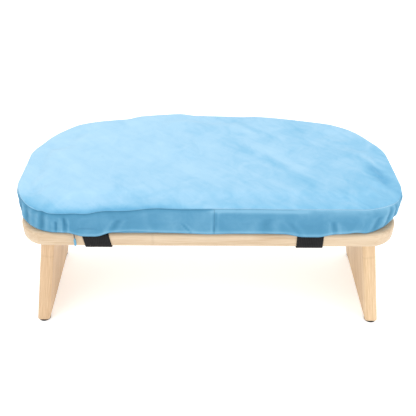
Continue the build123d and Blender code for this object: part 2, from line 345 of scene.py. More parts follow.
def make_bamboo(name, turn, dark, middle, light):
    """Laminated bamboo: strips with straight grain, and now and then a node mark.

    The grain runs along the x axis of the given turn.
    """
    shader = Shader(name, roughness=0.5, specular=0.35)
    along, beside, _ = shader.split(shader.coords(rotation=turn))
    strip = shader.math("FLOOR", shader.math("DIVIDE", beside, STRIP_WIDTH))
    chance = shader.node("ShaderNodeTexWhiteNoise", noise_dimensions="1D")
    shader.link(strip, chance.inputs["W"])
    tone = chance.outputs["Value"]
    layers = {}
    for layer, squeeze in (("fibres", 0.03), ("bands", 0.1), ("fine", 0.012)):
        layers[layer] = shader.coords(rotation=turn, scale=(1.0, squeeze, squeeze))
    fibres = shader.noise(layers["fibres"], scale=26, detail=4, roughness=0.65, distortion=0.25)
    bands = shader.noise(layers["bands"], scale=9, detail=3, roughness=0.55, distortion=0.5)
    fine = shader.noise(layers["fine"], scale=34, detail=2)
    grain = shader.total(-0.42, (fibres, 0.75), (bands, 0.5), (tone, 0.16), (fine, 0.22))
    wood = shader.ramp(grain, ((0.2, dark), (0.48, middle), (0.8, light)), smooth=False)
    # Node marks: short darker bars across a strip, at a different place in each
    shifted = shader.total(along, (tone, NODE_OFFSET))
    cycle = shader.math("FRACT", shader.math("DIVIDE", shifted, NODE_SPACING))
    near = shader.math("ABSOLUTE", shader.math("SUBTRACT", cycle, 0.5))
    mark = shader.line(shader.total(near, (fibres, NODE_HALF_WIDTH)), NODE_HALF_WIDTH)
    knot = tuple(c * 0.72 for c in dark)
    shader.color(shader.mix(shader.math("MULTIPLY", mark, 0.4), wood, knot))
    shader.rough(0.38, fibres, 0.25)
    shader.bump(fibres, distance=0.25 * MM, strength=0.35)
    return shader.material


def make_rubber():
    """Dull black rubber with a moulded grain and dusty patches."""
    shader = Shader("black_rubber", roughness=0.75, specular=0.3)
    place = shader.coords()
    dust = shader.noise(place, scale=90, detail=3, roughness=0.6)
    shader.color(shader.ramp(dust, ((0.35, (0.006, 0.006, 0.006)), (0.8, (0.024, 0.022, 0.020)))))
    shader.rough(0.6, dust, 0.25)
    shader.bump(shader.noise(place, scale=1100), distance=0.1 * MM, strength=0.5)
    return shader.material


def make_steel(name, dark, light, turn, roughness):
    """Plated steel, brushed along the x axis of a turn, with slightly duller patches."""
    shader = Shader(name, roughness, metallic=1.0)
    brushed = shader.coords(scale=(1, 0.02, 0.02), rotation=turn)
    brushed = shader.noise(brushed, scale=120, detail=3, roughness=0.6)
    patches = shader.noise(shader.coords(), scale=70, detail=3, roughness=0.6)
    tone = shader.total(0.0, (patches, 0.5), (brushed, 0.5))
    shader.color(shader.ramp(tone, ((0.3, dark), (0.7, light))))
    shader.rough(roughness - 0.1, brushed, 0.22)
    shader.bump(brushed, distance=0.06 * MM, strength=0.4)
    return shader.material


def make_weave(name, dark, light, pitch, depth):
    """Woven tape: rows of ribs crossed by finer threads, in the seat's own directions."""
    shader = Shader(name, roughness=0.85, specular=0.2)
    shader.set("Sheen Weight", 0.03)
    shader.set("Sheen Roughness", 0.5)
    place = shader.coords(rotation=tuple(seat_matrix.to_euler()))
    waves = []
    for part, size in zip(shader.split(place), (pitch, pitch * 0.72, pitch * 0.72)):
        turn = shader.math("MULTIPLY", part, 2 * math.pi / size)
        waves.append(shader.math("SINE", turn))
    crossing = shader.math("MULTIPLY", waves[0], shader.math("MAXIMUM", waves[1], waves[2]))
    height = shader.total(0.5, (crossing, 0.5))
    wear = shader.noise(place, scale=130, detail=4, roughness=0.6)
    # The weave's dips are painted darker as shade and its raised threads lighter; the worn patches are
    # the tape's own tone
    tone = shader.total(0.0, (wear, 0.7), (height, 0.35))
    shader.color(shader.ramp(tone, ((0.25, dark), (0.8, light))))
    shader.bump(height, depth, strength=0.7)
    shader.rough(0.75, wear, 0.2)
    return shader.material


def make_plastic(name, dark, light, roughness):
    """Moulded nylon or enamel with a faint grain and a little variation."""
    shader = Shader(name, roughness, specular=0.45)
    place = shader.coords()
    tone = shader.noise(place, scale=260, detail=3, roughness=0.6)
    shader.color(shader.ramp(tone, ((0.3, dark), (0.75, light))))
    shader.rough(roughness - 0.1, tone, 0.2)
    shader.bump(shader.noise(place, scale=2600), distance=0.04 * MM, strength=0.4)
    return shader.material


# The pull's cord starts this far up it, as a part of its height
CORD_START = 0.56


def make_pull():
    """The pull's finish: a painted tab with a dark cord above it."""
    shader = Shader("pull_finish", roughness=0.45)
    place = shader.coords()
    low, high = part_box("zip_pull")
    up = shader.math("SUBTRACT", shader.split(place)[2], low.z)
    part = shader.math("DIVIDE", up, high.z - low.z)
    tone = shader.noise(place, scale=700, detail=3, roughness=0.6)
    tab = shader.ramp(tone, ((0.3, (0.07, 0.24, 0.38)), (0.75, (0.14, 0.38, 0.55))))
    is_cord = shader.math("GREATER_THAN", part, CORD_START)
    shader.color(shader.mix(is_cord, tab, (0.03, 0.035, 0.05)))
    shader.rough(0.35, tone, 0.2)
    shader.bump(tone, distance=0.08 * MM, strength=0.5)
    return shader.material


LEG_LEAN = math.radians(10)
QUARTER_TURN = math.radians(90)

# The top's tones are lighter than the band's as painted light: they stand in for the stronger light on
# the top and the pile's sheen seen at a grazing angle
VELVET_TOP = make_velvet(
    "velvet_top",
    ((0.12, 0.35, 0.55), (0.205, 0.45, 0.64), (0.31, 0.53, 0.70), (0.39, 0.60, 0.74)),
    (0.08, 0.26, 0.42), sheen=0.25, light_drift=0.7, variation=0.45)
VELVET_BAND = make_velvet(
    "velvet_band",
    ((0.032, 0.15, 0.26), (0.056, 0.205, 0.335), (0.086, 0.262, 0.412), (0.18, 0.39, 0.55)),
    (0.03, 0.11, 0.18), sheen=0.12, light_drift=-0.1, variation=0.3)
BAMBOO_ACROSS = make_bamboo(
    "bamboo_across", (0, 0, 0),
    (0.48, 0.34, 0.21), (0.61, 0.48, 0.335), (0.69, 0.57, 0.435))
BAMBOO_LEFT = make_bamboo(
    "bamboo_left", (0, QUARTER_TURN + LEG_LEAN, 0),
    (0.47, 0.305, 0.17), (0.61, 0.425, 0.26), (0.68, 0.51, 0.34))
BAMBOO_RIGHT = make_bamboo(
    "bamboo_right", (0, QUARTER_TURN - LEG_LEAN, 0),
    (0.53, 0.35, 0.19), (0.69, 0.51, 0.32), (0.76, 0.60, 0.41))
RUBBER = make_rubber()
HINGE_STEEL = make_steel(
    "hinge_steel", (0.30, 0.295, 0.28), (0.52, 0.51, 0.49), (0, 0, QUARTER_TURN), 0.35)
SCREW_STEEL = make_steel(
    "screw_steel", (0.36, 0.355, 0.345), (0.60, 0.59, 0.57), (0, 0, 0), 0.3)
WEBBING = make_weave(
    "webbing", (0.0035, 0.0035, 0.004), (0.013, 0.0125, 0.014), 2.1 * MM, 0.5 * MM)
HOOK_LOOP = make_weave(
    "hook_loop", (0.010, 0.010, 0.011), (0.05, 0.05, 0.052), 1.2 * MM, 0.6 * MM)
ZIP_TAPE = make_weave(
    "zip_tape", (0.10, 0.30, 0.48), (0.16, 0.40, 0.60), 0.8 * MM, 0.2 * MM)
ZIP_NYLON = make_plastic("zip_nylon", (0.10, 0.28, 0.44), (0.18, 0.40, 0.58), 0.45)
SLIDER_METAL = make_plastic("slider_enamel", (0.08, 0.20, 0.32), (0.16, 0.34, 0.48), 0.35)
PULL = make_pull()


def finish_cad_nodes():
    """Gives every CAD node that stays in view its material."""
    kept = {
        "seat_board": BAMBOO_ACROSS, "left_leg_panel": BAMBOO_LEFT, "right_leg_panel": BAMBOO_RIGHT,
        "zip_slider": SLIDER_METAL, "zip_pull": PULL, "zip_end_stops": ZIP_NYLON,
    }
    for name, node in frame["nodes"].items():
        material = kept.get(name)
        if name.endswith("foot_pad"):
            material = RUBBER
        elif name.endswith("_leaf"):
            material = HINGE_STEEL
        elif name.endswith(("_pin", "_screws")):
            material = SCREW_STEEL
        if material:
            node.data.materials.clear()
            node.data.materials.append(material)


# ------------ the cushion's form

OUTLINE_POINTS = 480
OUTLINE_SMOOTHING = 3
CUSHION_HALF_WIDTH = 228.0
# The line that the rings of the top and bottom shrink to
SPINE_HALF_LENGTH = 125.0
SPINE_DEPTH = 104.0
# Outline points nearer to the front than this are on the straight front edge
FRONT_DEPTH = 5.0


def cushion_outline():
    """The cover's outline in millimetres, anticlockwise from the middle of the front."""
    hull = seat_outline("cover_top_panel")
    closed = np.vstack([hull, hull[:1]])
    steps = np.hypot(*np.diff(closed, axis=0).T)
    length = np.concatenate([[0], np.cumsum(steps)])
    even = np.linspace(0, length[-1], OUTLINE_POINTS, endpoint=False)
    ring = np.column_stack([np.interp(even, length, closed[:, i]) for i in (0, 1)])
    for _ in range(OUTLINE_SMOOTHING):
        ring = (np.roll(ring, 1, 0) + 2 * ring + np.roll(ring, -1, 0)) / 4
    area = np.sum(ring[:, 0] * np.roll(ring[:, 1], -1) - np.roll(ring[:, 0], -1) * ring[:, 1])
    if area < 0:
        ring = ring[::-1]
    front = [i for i in range(len(ring)) if ring[i, 1] < FRONT_DEPTH]
    start = min(front, key=lambda i: abs(ring[i, 0]))
    return np.roll(ring, -start, 0)


outline = cushion_outline()
ahead = np.roll(outline, -1, 0) - np.roll(outline, 1, 0)
tangent = ahead / np.hypot(*ahead.T)[:, None]
outward = np.column_stack([tangent[:, 1], -tangent[:, 0]])
stride = np.hypot(*(np.roll(outline, -1, 0) - outline).T)
perimeter = stride.sum()
# Distance along the outline from the middle of the front: positive on the right half
run = np.concatenate([[0], np.cumsum(stride)[:-1]])
run = np.where(run > perimeter / 2, run - perimeter, run)
spine = np.column_stack([
    outline[:, 0] * SPINE_HALF_LENGTH / CUSHION_HALF_WIDTH,
    np.full(OUTLINE_POINTS, SPINE_DEPTH),
])

# The form that is blown up: a little smaller than the cover, and held at its bottom
FORM_INSET = 4.0
FORM_LOW = 21.5
FORM_HIGH = 54.0
FORM_HELD_BELOW = 24.0
FORM_VOXEL = 5.0
FORM_REACH = 6.5
CLOTH_PRESSURE = 4
CLOTH_STIFFNESS = 25
CLOTH_FRAMES = 20
# The band samples the form from this height up to its top
SAMPLED_LOW = 22.0
# Rays that sample the form start this high above it, or this far outside it
CAST_HEIGHT = 120.0
CAST_DISTANCE = 40.0


def run_cloth(form, held_points):
    """Inflates a form by cloth pressure, and leaves the result on its mesh."""
    held = form.vertex_groups.new(name="held")
    held.add(held_points, 1.0, "REPLACE")
    cloth = form.modifiers.new("cloth", "CLOTH")
    cloth.settings.use_pressure = True
    cloth.settings.uniform_pressure_force = CLOTH_PRESSURE
    cloth.settings.vertex_group_mass = "held"
    cloth.settings.effector_weights.gravity = 0
    cloth.settings.tension_stiffness = CLOTH_STIFFNESS
    cloth.settings.compression_stiffness = CLOTH_STIFFNESS
    for number in range(1, CLOTH_FRAMES + 1):
        bpy.context.scene.frame_set(number)
    bpy.ops.object.modifier_apply(modifier=cloth.name)
    bpy.context.scene.frame_set(1)


def inflate():
    """Blows up a slightly small cushion as cloth, and returns its surface for sampling."""
    ring = outline - outward * FORM_INSET
    points = [(x, y, height) for height in (FORM_LOW, FORM_HIGH) for x, y in ring]
    count = len(ring)
    faces = [list(range(count))[::-1], list(range(count, 2 * count))]
    faces += [(i, (i + 1) % count, count + (i + 1) % count, count + i) for i in range(count)]
    form = make_object("cushion_form", np.array(points) * MM, faces)
    bpy.ops.object.select_all(action="DESELECT")
    form.select_set(True)
    bpy.context.view_layer.objects.active = form
    remesh = form.modifiers.new("even", "REMESH")
    remesh.mode = "VOXEL"
    remesh.voxel_size = FORM_VOXEL * MM
    bpy.ops.object.modifier_apply(modifier=remesh.name)
    start = np.array([v.co for v in form.data.vertices])
    run_cloth(form, [i for i, p in enumerate(start) if p[2] < FORM_HELD_BELOW * MM])
    move = np.array([v.co for v in form.data.vertices]) - start
    size = np.maximum(np.linalg.norm(move, axis=1), 1e-9)
    end = start + move * np.minimum(1, FORM_REACH * MM / size)[:, None]
    form.data.vertices.foreach_set("co", end.ravel())
    form.data.update()
    surface = BVHTree.FromObject(form, bpy.context.evaluated_depsgraph_get())
    bpy.data.objects.remove(form)
    return surface


form_surface = inflate()


def form_height(x, y):
    """Height of the inflated form's top above a place on the seat, in millimetres."""
    hit = form_surface.ray_cast(Vector((x, y, CAST_HEIGHT)) * MM, Vector((0, 0, -1)))[0]
    return hit.z / MM if hit else FORM_HIGH


def form_reach(index, height):
    """How far the inflated form stands out from the outline at a height."""
    px, py = outline[index]
    nx, ny = outward[index]
    start = Vector((px + CAST_DISTANCE * nx, py + CAST_DISTANCE * ny, height)) * MM
    hit = form_surface.ray_cast(start, Vector((-nx, -ny, 0)))[0]
    if not hit:
        return -FORM_INSET
    return (hit.x / MM - px) * nx + (hit.y / MM - py) * ny


# ------------ the cushion's cover

# Places along the front are distances from its middle, in millimetres, like run

LEFT_STRAP_X, RIGHT_STRAP_X = -133.0, 120.0

# The flat bottom's rings, as parts of the way out from the spine to this inset
CUSHION_BOTTOM = 20.25
BOTTOM_INSET = 9.5
BOTTOM_SCALES = (0.05, 0.2, 0.4, 0.6, 0.8)

# The seam_gap attribute, where no seam is near
NO_SEAM = -40.0
# The flap that hides the zip, in front: its extent, and how softly it ends
FLAP_EXTENT = (-167, 167, 24)
FLAP_DEPTH = 40
# From under the cushion, up behind the zip and out over it: distance out, and height
FLAP_BACK = ((-4.5, 20.3), (-2.4, 20.3), (-2.1, 23.5), (-2.1, 27.8), (1.0, 29.4), (4.4, 29.2))
# Its rolled hem: distance out, height above the hem's height, and seam_gap; a seam_gap of 0 draws a
# dark line along the hem's lower edge as painted shadow between cushion and board
FLAP_HEM = ((4.9, 1.6, NO_SEAM), (5.2, 0.5, 0.0), (5.7, 0.0, 0.0), (6.2, 0.6, 0.2))
# The rounded edge where there is no flap, ring for ring: distance out, and height
PLAIN_EDGE = (
    (-9.0, 20.3), (-7.0, 20.3), (-5.5, 20.3), (-4.2, 20.35), (-3.0, 20.4), (-2.0, 20.5),
    (-1.2, 20.7), (-0.5, 21.0), (0.2, 21.5), (0.7, 22.3),
)
# It is tucked in under the right front corner: start, end, soft distance and how far
EDGE_TUCK = ((205, 262, 25, 1.8),)

# The flap's lower edge: mean height, then bumps as middle, width and height
HEM_HEIGHT = 25.3
HEM_BUMPS = (
    (-177, 8, 0.8), (-90, 23, 2.9), (-45, 25, 1.1), (2, 18, -1.2), (88, 14, -0.6), (174, 12, 2.8),
)
# It is pulled down where the straps are sewn on: start, end, soft distance and height
HEM_PULLS = (
    (LEFT_STRAP_X - 14, LEFT_STRAP_X, 19, -5.6),
    (RIGHT_STRAP_X - 11, RIGHT_STRAP_X + 6, 22, -4.5),
)

# The top seam: mean height, then sags and small bumps on the left of the front
SEAM_HEIGHT = 54.0
SEAM_SAGS = ((-232, -150, 30, -5.4), (-216, -172, 18, -2.4), (-135, -104, 40, -3.0))
SEAM_BUMPS = ((-196, 5, 1.6), (-59, 16, 1.2))
# How much higher it lies along the back, and humps there by their x
REAR_RISE = 4.2
REAR_RANGE = (330, 430)
BACK_DEPTHS = (110, 150)
BACK_HUMPS = ((-90, -42, 28, 3.6), (70, 165, 25, 1.8), (-175, -125, 20, 1.3))

# Where the upper part has spread sideways: start, end, soft distance and how far
SIDE_SPREAD = (
    (228, 322, 40, 5.2), (-312, -264, 40, 3.6), (-430, -335, 30, 1.6), (345, 390, 20, 1.8),
)

# The band's rings: how far the cover stands off the form, more so at the front corners
BAND_ROWS = 18
BAND_EASE = 1.2
LEFT_CORNER_EASE, RIGHT_CORNER_EASE = 1.4, 2.4
# Its front corners, its sides, and where those are drawn out under the seam, both ways
CORNER_RANGE = (208, 262, 22)
SIDE_RANGE = (214, 300, 30)
DRAWN_OUT_RANGE = (236, 320, 30)
# Bulges low in the band, over the flap and at the sides: middle, width, and how far
FLAP_BULGE = (0.3, 0.25, 1.5)
SIDE_BULGE = (0.27, 0.2, 2.2)
# How far the band turns in under the seam, and how much less where drawn out
SEAM_TURN_IN = 3.4
SEAM_DRAWN_OUT = 2.3

# Folds of the band: place along, low and high end, width, depth and lean
BAND_FOLDS = (
    # Left front corner: the loose cloth hangs in upright folds
    (-238, 28, 50, 6.0, 1.2, 0.1),
    (-221, 26, 44, 4.5, 1.3, -0.1),
    (-196, 24, 47, 3.4, 1.3, 0.15),
    (-178.5, 20, 34, 1.8, 1.6, 0.0),
    (-167.5, 20, 40, 2.0, 1.5, -0.1),
    # Tugs above the straps, and small puckers beside the band's join
    (-112, 24, 38, 3.5, 0.8, 0.8),
    (-21, 21, 33, 1.8, 1.0, -1.1),
    (JOIN_X / MM, 18, 60, 1.8, 0.5, 0.0),
    (4.0, 22, 31, 1.3, 0.8, 0.1),
    (62, 24, 40, 7.0, 0.5, 0.6),
    (101, 23, 36, 3.0, 0.4, -0.9),
    (146, 21, 36, 2.8, 1.1, -0.25),
    # Right front corner: crumpled by the pull of the seam
    (196, 24, 40, 3.5, 1.0, 0.3),
    (212, 28, 52, 2.6, 1.3, 0.15),
    (222, 30, 54, 2.2, 1.1, -0.2),
    (236, 32, 56, 2.8, 1.1, 0.1),
    (249, 28, 54, 3.4, 1.0, -0.1),
)
# The sides and back start this far from the middle of the front
SIDE_START = 262

# The top's rings, as distances in from the seam
TOP_INSETS = (0.7, 1.6, 3.0, 5.0, 7.5, 10.5, 14.0, 18.0, 22.5, 27.5, 33.0, 38.5, 44.0, 50.0,
              56.0, 62.0, 68.0, 74.0, 80.0, 86.0, 91.0, 96.0)
# The top rolls up out of the seam's groove by a height, over a distance, and rises to
# stand this far off the form
SEAM_ROLL = 2.6
SEAM_ROLL_WIDTH = 2.2
TOP_EASE = 1.0
TOP_RISE = (-3, 26)
# The top darkens along the front seam as painted shade where it rolls over the edge, most of all on the
# left
SEAM_SHADE = -2.6
SEAM_SHADE_WIDTH = 8.5
# Lumps of the top, at its back edge and back corners: x, y, two half widths and height
TOP_LUMPS = (
    (-44, 192, 36, 34, 5.5), (110, 190, 60, 30, 2.2),
    (-196, 172, 26, 26, -2.0), (196, 172, 26, 26, -2.0),
)
# Brushed streaks of the top: start, end, half width, and how open the pile is
TOP_STREAKS = (
    ((204, 74), (212, 58), 12, -1.15),
    ((184, 106), (203, 82), 10, -0.5),
    ((192, 112), (212, 84), 4, 0.4),
    ((44, 122), (122, 44), 7, -0.65),
    ((62, 122), (136, 50), 7, 0.4),
    ((36, 190), (66, 158), 6, -0.7),
    ((-6, 176), (38, 140), 9, -0.5),
)

flap = np.where(outline[:, 1] < FLAP_DEPTH, plateau(outline[:, 0], *FLAP_EXTENT), 0.0)


def hem_height():
    """Height of the flap's lower edge round the cushion."""
    wave = 0.25 * np.sin(run / 31.0) + 0.2 * np.sin(run / 12.5 + 1.0)
    return HEM_HEIGHT + wave + bells(run, HEM_BUMPS) + plateaus(run, HEM_PULLS)


def seam_height():
    """Height of the top seam round the cushion."""
    wave = 0.4 * np.sin(run / 47.0 + 0.6) + 0.2 * np.sin(run / 19.0)
    seam = SEAM_HEIGHT + wave + plateaus(run, SEAM_SAGS) + bells(run, SEAM_BUMPS)
    seam = seam + REAR_RISE * smoothstep(*REAR_RANGE, abs(run))
    behind = smoothstep(*BACK_DEPTHS, outline[:, 1])
    return seam + behind * plateaus(outline[:, 0], BACK_HUMPS)


def side_folds():
    """The soft irregular folds in which the sides and back hang."""
    rng = random.Random(41)
    folds = []
    spot = -perimeter / 2
    while spot < perimeter / 2:
        spot += rng.uniform(22, 60)
        if abs(spot) < SIDE_START:
            continue
        low = rng.uniform(20, 30)
        high = rng.uniform(34, 52)
        width = rng.uniform(2.5, 6.5)
        depth = rng.uniform(0.5, 1.5)
        folds.append((spot, low, high, width, depth, rng.uniform(-0.5, 0.5)))
    return folds


def crease(height, at, low, high, width, depth, lean):
    """A fold in the band: a groove between two heights, with cloth pushed up beside it."""
    middle = at + lean * (height - (low + high) / 2)
    near = (run - middle) / width
    length = plateau(height, low, high, 5.0)
    return -depth * length * (bell(near, 0, 1) - 0.55 * bell(abs(near), 1.9, 0.9))


def soft_noise(flat, size, seed):
    """Smooth noise between about -1 and 1, its bumps about this many millimetres long."""
    places = [Vector((x / size + seed, y / size - seed, 0)) for x, y in flat]
    return np.array([noise.noise(place) for place in places])


def top_shape(flat, inset):
    """How much higher the top panel lies than the form, in millimetres."""
    x, y = flat.T
    lift = 2.4 * bell((x / 150) ** 2, 0, 1) * bell(y, 188, 36)
    for lump_x, lump_y, width, depth, height in TOP_LUMPS:
        lift = lift + height * bell(x, lump_x, width) * bell(y, lump_y, depth)
    ripple = 1.1 * soft_noise(flat, 85, 3.1) + 0.45 * soft_noise(flat, 34, 8.4)
    ripple = ripple + 0.18 * soft_noise(flat, 13, 5.2)
    return lift + ripple * (0.35 + 0.65 * smoothstep(0, 30, inset))


def streak(flat, start, end, width):
    """A brushed streak between two places on the top, fading at both ends."""
    start, end = np.array(start, float), np.array(end, float)
    way = end - start
    part = ((flat - start) @ way) / (way @ way)
    near = flat - start - np.clip(part, 0, 1)[:, None] * way
    return bell(np.hypot(*near.T), 0, width)


def top_nap_and_shade(flat, inset):
    """How dark or light the top is: painted shade along the front seam, and brushed streaks where the
    pile is pressed dark or open.
    """
    nap_and_shade = SEAM_SHADE * np.exp(-inset / SEAM_SHADE_WIDTH) * (1 - 0.8 * smoothstep(-70, 10, run))
    nap_and_shade = nap_and_shade * (1 - smoothstep(215, 260, abs(run)))
    for start, end, width, opened in TOP_STREAKS:
        nap_and_shade = nap_and_shade + opened * streak(flat, start, end, width)
    return nap_and_shade


def band_seam_light_and_shade(below_seam):
    """Painted light on the band under the seam, by the distance below it: a painted highlight where the
    band rolls up towards the light, and painted shade in the seam's groove on the left.
    """
    lit = 2.0 * plateau(run, 8, 105, 14) * bell(below_seam, 1.8, 2.1)
    lit = lit + 1.7 * plateau(run, 120, 212, 22) * np.exp(-below_seam / 4.0)
    return lit - 1.5 * plateau(run, -205, 0, 8) * bell(below_seam, 0, 1.7)


def make_ring(flat, height, nap_and_shade=0.0, gap=NO_SEAM):
    """A ring of the cover, with the x, y, z, nap_and_shade and seam_gap of each point in a row."""
    values = [np.broadcast_to(value, OUTLINE_POINTS) for value in (height, nap_and_shade, gap)]
    return np.column_stack([flat, *values])


def pushed_out(distances):
    """The outline, moved outward by a distance at each of its points."""
    return outline + outward * distances[:, None]


def bottom_rings():
    """The flat bottom, from near its middle to the cushion's edge."""
    edge = outline - outward * BOTTOM_INSET
    return [make_ring(spine + (edge - spine) * scale, CUSHION_BOTTOM) for scale in BOTTOM_SCALES]


def edge_rings(tuck):
    """The plain rounded edge, or the flap's back face and hem where there is a flap."""
    hem = hem_height()
    flap_section = [(out, height, NO_SEAM) for out, height in FLAP_BACK]
    flap_section += [(out, hem + up, gap) for out, up, gap in FLAP_HEM]
    rings = []
    for (flap_out, flap_height, gap), (plain_out, plain_height) in zip(flap_section, PLAIN_EDGE):
        out = flap * flap_out + (1 - flap) * (plain_out - tuck)
        height = flap * flap_height + (1 - flap) * plain_height
        rings.append(make_ring(pushed_out(out), height, gap=gap))
    return rings


def band_rings(low_height, tuck, quiet):
    """The band: it bulges like the inflated form, and hangs forward over the flap."""
    seam = seam_height()
    spread = plateaus(run, SIDE_SPREAD)
    corner_part = plateau(abs(run), *CORNER_RANGE)
    side_part = plateau(abs(run), *SIDE_RANGE)
    ease = BAND_EASE + corner_part * np.where(run < 0, LEFT_CORNER_EASE, RIGHT_CORNER_EASE)
    turn_in = SEAM_TURN_IN - SEAM_DRAWN_OUT * plateau(abs(run), *DRAWN_OUT_RANGE)
    low_out = flap * FLAP_HEM[-1][0] + (1 - flap) * (PLAIN_EDGE[-1][0] - tuck)
    folds = list(BAND_FOLDS) + side_folds()
    rings = []
    for step in range(1, BAND_ROWS + 1):
        # The rings lie closer together at the hem and the seam
        part = step / BAND_ROWS
        part = part + 0.06 * math.sin(2 * math.pi * part)
        height = low_height + (seam - low_height) * part
        level = SAMPLED_LOW + (FORM_HIGH - SAMPLED_LOW) * part
        sampled = np.array([form_reach(i, level) for i in range(OUTLINE_POINTS)])
        belly = np.maximum(sampled + ease, -1.0)
        start = smoothstep(0, 1, part / (0.45 - 0.15 * corner_part))
        out = low_out * (1 - start) + belly * start
        out = out + flap * bells(part, (FLAP_BULGE,)) + side_part * bells(part, (SIDE_BULGE,))
        out = out + spread * smoothstep(0.05, 0.75, part)
        out = out - turn_in * smoothstep(0.80, 1.0, part) ** 2
        fold = sum(crease(height, *shape) for shape in folds)
        fold = fold * smoothstep(0, 0.12, part) * (1 - smoothstep(0.93, 1, part))
        # A painted highlight along the flap's rolled hem
        hem_highlight = 1.1 * bell(part, 0.06, 0.06) * flap
        # Folds are painted darker in their grooves as shade and lighter on their ridges as highlights
        nap_and_shade = 1.1 * fold + band_seam_light_and_shade(seam - height) + hem_highlight
        rings.append(make_ring(pushed_out(out + fold), height, nap_and_shade, height - seam - quiet))
    return rings


def top_rings(seam_ring, quiet):
    """The top panel: it starts in the seam's groove and rises to the form's crown."""
    seam_flat, seam = seam_ring[:, :2], seam_ring[:, 2]
    start_rise = smoothstep(*TOP_RISE, 0)
    rings = []
    for inset in TOP_INSETS:
        flat = seam_flat + (spine - seam_flat) * inset / SPINE_DEPTH
        blend = (smoothstep(*TOP_RISE, inset) - start_rise) / (1 - start_rise)
        rolled = seam + SEAM_ROLL * (1 - math.exp(-inset / SEAM_ROLL_WIDTH))
        crown = np.array([form_height(x, y) for x, y in flat]) + TOP_EASE + top_shape(flat, inset)
        height = rolled * (1 - blend) + np.maximum(crown, rolled) * blend
        rings.append(make_ring(flat, height, top_nap_and_shade(flat, inset), inset + quiet))
    return rings


def make_cushion():
    """The velvet cover as one closed mesh of rings, with a material for band and top."""
    tuck = plateaus(run, EDGE_TUCK)
    # The seam's dark line fades out on the right
    quiet = 1.8 * smoothstep(85, 125, run)
    rings = bottom_rings() + edge_rings(tuck)
    rings += band_rings(rings[-1][:, 2], tuck, quiet)
    band_end = len(rings)
    rings += top_rings(rings[-1], quiet)
    values = np.vstack(rings)
    count = OUTLINE_POINTS
    faces, materials = [], []
    for level in range(len(rings) - 1):
        for i in range(count):
            a, b = level * count + i, level * count + (i + 1) % count
            faces.append((a, b, b + count, a + count))
            materials.append(int(level + 1 >= band_end))
    cushion = make_object("cushion", seat_to_world(values[:, :3] * MM), faces)
    cushion.data.materials.append(VELVET_BAND)
    cushion.data.materials.append(VELVET_TOP)
    cushion.data.polygons.foreach_set("material_index", materials)
    for column, label in ((3, "nap_and_shade"), (4, "seam_gap")):
        layer = cushion.data.attributes.new(label, "FLOAT", "POINT")
        layer.data.foreach_set("value", values[:, column])
    close_cushion(cushion, len(rings))
    finish = cushion.modifiers.new("smooth", "SUBSURF")
    finish.levels = 1
    finish.render_levels = 1
    return cushion


def close_cushion(cushion, rings):
    """Fills the hole in the middle of the bottom and of the top."""
    count = OUTLINE_POINTS
    edit = bmesh.new()
    edit.from_mesh(cushion.data)
    edit.verts.ensure_lookup_table()
    for start, material in ((0, 0), ((rings - 1) * count, 1)):
        middle = edit.faces.new(edit.verts[start:start + count])
        middle.material_index = material
        parts = bmesh.ops.triangulate(edit, faces=[middle], ngon_method="BEAUTY")
        for face in parts["faces"]:
            face.smooth = True
    bmesh.ops.recalc_face_normals(edit, faces=edit.faces)
    edit.to_mesh(cushion.data)
    edit.free()


# ------------ straps

STRAP_HALF_WIDTH = 15.7
STRAP_THICKNESS = 1.2
STRAP_GAP = 0.65
STRAP_COLUMNS = 16
SELVEDGE_WIDTH = 0.35
BOARD_THICKNESS = 20.0
BOARD_EDGE_RADIUS = 4.0
EDGE_RADIUS = BOARD_EDGE_RADIUS + STRAP_GAP

# How far each strap leans sideways on its way down the board's edge
LEFT_LEAN, RIGHT_LEAN = 2.6, 0.4
# Where the straps start, between cushion and board: depth from the edge, and height
STRAP_START = ((9.0, 20.62), (6.5, 20.66))
# The back half steps down under the front half where they join: depth and height
BACK_STEP = ((150, -0.65), (145, -0.7), (141, -1.2), (137, -2.4), (133, -3.05), (128, -3.1))
BACK_FLAT = (120, 110, 100, 90, 80)

# The patches between the halves: start and length, height of each middle, and pile
PATCH_COLUMNS, PATCH_ROWS = 24, 30
PATCH_MARGIN = 0.4
PATCH_START = 85.3
PATCH_LENGTH = 39.4
PATCH_HALF_THICKNESS = 0.25
LOOP_HEIGHT, HOOK_HEIGHT = -1.55, -2.15
PILE_ROUGHNESS = 0.06


def edge_depths(side, columns):
    """Depth of the board's front or back edge at places across it, in millimetres."""
    hull = seat_outline("seat_board")
    half = hull[hull[:, 1] < 60] if side == "front" else hull[hull[:, 1] > 150]
    half = half[np.argsort(half[:, 0])]
    return np.interp(columns, half[:, 0], half[:, 1])


def corner(height, start, end):
    """The webbing's arc round a rounded edge of the board, between two angles."""
    angles = np.radians(np.linspace(start, end, 7))
    return [(BOARD_EDGE_RADIUS + EDGE_RADIUS * math.cos(a), height + EDGE_RADIUS * math.sin(a))
            for a in angles]


def edge_path():
    """From under the cushion round the board's edge: depth from that edge, and height."""
    top, low = BOARD_THICKNESS - BOARD_EDGE_RADIUS, BOARD_EDGE_RADIUS
    path = list(STRAP_START)
    path += corner(top, 90, 180)
    path += [(-STRAP_GAP, top - step) for step in (3, 6, 9)]
    path += corner(low, 180, 270)
    return path


def front_sections(depths):
    """The front half's rows: round the front edge, then back along the underside."""
    path = edge_path() + [(depth, -STRAP_GAP) for depth in range(12, 131, 6)]
    sections = []
    for depth, height in path:
        # A little slack rounds it under the board's edge
        if height < BOARD_EDGE_RADIUS:
            height -= 1.1 * float(bell(depth, 0, 22))
        sections.append([(edge + depth, height) for edge in depths])
    return sections


def back_sections(depths):
    """The back half's rows: round the back edge, then forward and under the front half."""
    sections = [[(edge - depth, height) for edge in depths] for depth, height in edge_path()]
    flat = BACK_STEP + tuple((depth, BACK_STEP[-1][1]) for depth in BACK_FLAT)
    sections += [[place] * len(depths) for place in flat]
    return sections


